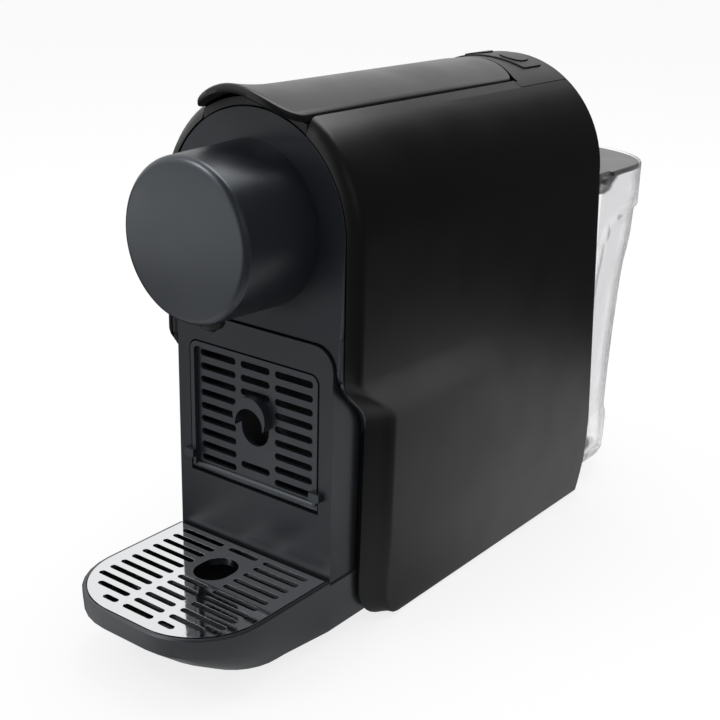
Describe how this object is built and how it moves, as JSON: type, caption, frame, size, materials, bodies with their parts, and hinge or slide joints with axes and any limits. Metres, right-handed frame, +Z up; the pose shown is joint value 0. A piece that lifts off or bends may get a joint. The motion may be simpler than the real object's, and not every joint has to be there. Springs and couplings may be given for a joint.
{
  "type": "pod coffee machine",
  "caption": "Capsule coffee machine with an arched casing, round brew head, lever, sliding cup unit and removable water tank.",
  "frame": {"origin": "middle of the footprint's bounding box, on the table", "axes": "+Z up, -Y towards the user (drip tray), +X to the machine's right side as seen from behind the cup, so the tank is at +Y"},
  "size_m": [0.118, 0.3874, 0.2575],
  "materials": {
    "black_shell": "satin black moulding with a soft sheen",
    "dark_front": "smooth blue-black moulding",
    "matt_black": "fine-textured matt black moulding",
    "chassis_black": "glass-filled moulding",
    "button_grey": "soft-touch keys",
    "steel_grate": "pressed sheet with a brushed finish",
    "clear_tank": "clear moulding with a faint cool tint",
    "smoke_lid": "smoke-grey moulding",
    "natural_plastic": "uncoloured food-safe moulding",
    "rubber_black": "moulded rubber",
    "seal_red": "silicone ring",
    "hose_clear": "milky silicone tube",
    "steel_bright": "bright steel",
    "yoke_grey": "pressed and plated",
    "heater_alloy": "cast alloy",
    "pump_body": "moulded pump with its coil",
    "dock_black": "moulded fittings",
    "board_green": "coated circuit board"
  },
  "bodies": {
    "machine": {"side_cover_right": "black_shell", "side_cover_left": "black_shell", "front_bezel": "dark_front", "top_deck": "matt_black", "rear_cover": "matt_black", "base_plate": "matt_black", "inner_chassis": "chassis_black", "rubber_feet": "rubber_black", "base_screws": "steel_bright", "rear_screws": "steel_bright", "control_panel": "matt_black", "button_surround": "matt_black", "button_springs": "steel_bright", "control_board": "board_green", "head_drum": "dark_front", "outlet_duct": "natural_plastic", "coffee_spout": "matt_black", "brew_frame": "chassis_black", "extraction_plate": "steel_bright", "lever_pin": "steel_bright", "water_pump": "pump_body", "pump_mounts": "rubber_black", "thermoblock": "heater_alloy", "flow_meter": "natural_plastic", "suction_hose": "hose_clear", "meter_hose": "hose_clear", "pump_hose": "hose_clear", "brew_hose": "hose_clear", "dock_nozzle": "dock_black", "dock_seal": "rubber_black", "cable_gland": "rubber_black"},
    "lever": {"lever_cover": "black_shell", "lever_yoke": "yoke_grey", "lever_screws": "steel_bright"},
    "cage": {"capsule_cage": "natural_plastic", "needle_plate": "steel_bright", "cage_seal": "seal_red", "follower_pin": "steel_bright"},
    "espresso_key": {"espresso_button": "button_grey"},
    "lungo_key": {"lungo_button": "button_grey"},
    "cup_unit": {"front_panel": "dark_front", "capsule_bin": "matt_black", "drip_tray": "matt_black"},
    "cup_rest": {"cup_rest": "matt_black"},
    "grate": {"drip_grate": "steel_grate"},
    "tank": {"water_tank": "clear_tank", "lid_sockets": "clear_tank", "valve_cage": "natural_plastic", "valve_spring": "steel_bright"},
    "lid": {"tank_lid": "smoke_lid"},
    "valve": {"tank_valve": "dock_black"}
  },
  "joints": [
    {"name": "lever_hinge", "type": "hinge", "parent": "machine", "child": "lever", "pos_m": [0, 0.04675, 0.2305], "axis": [-1, 0, 0], "range_deg": [0, 70]},
    {"name": "cage_slide", "type": "slide", "parent": "machine", "child": "cage", "axis": [0, 1, 0], "range_m": [0, 0.032]},
    {"name": "espresso_press", "type": "slide", "parent": "machine", "child": "espresso_key", "axis": [0, 0, -1], "range_m": [0, 0.0012], "stiffness_N_per_m": 400, "springref_m": -0.001},
    {"name": "lungo_press", "type": "slide", "parent": "machine", "child": "lungo_key", "axis": [0, 0, -1], "range_m": [0, 0.0012], "stiffness_N_per_m": 400, "springref_m": -0.001},
    {"name": "cup_unit_slide", "type": "slide", "parent": "machine", "child": "cup_unit", "axis": [0, -1, 0], "range_m": [0, 0.13]},
    {"name": "cup_rest_hinge", "type": "hinge", "parent": "cup_unit", "child": "cup_rest", "pos_m": [0, -0.10685, 0.0682], "axis": [1, 0, 0], "range_deg": [0, 90]},
    {"name": "grate_lift", "type": "slide", "parent": "cup_unit", "child": "grate", "axis": [0, 0, 1], "range_m": [0, 0.026]},
    {"name": "tank_lift", "type": "slide", "parent": "machine", "child": "tank", "axis": [0, 0, 1], "range_m": [0, 0.08]},
    {"name": "lid_hinge", "type": "hinge", "parent": "tank", "child": "lid", "pos_m": [0, 0.12375, 0.186], "axis": [1, 0, 0], "range_deg": [0, 80]},
    {"name": "valve_slide", "type": "slide", "parent": "tank", "child": "valve", "axis": [0, 0, -1], "range_m": [0, 0.0022]}
  ],
  "couplings": [
    {"joint": "cage_slide", "follows": "lever_hinge", "m_per_rad": 0.026192},
    {"joint": "valve_slide", "follows": "tank_lift", "ratio": 0.0275}
  ]
}
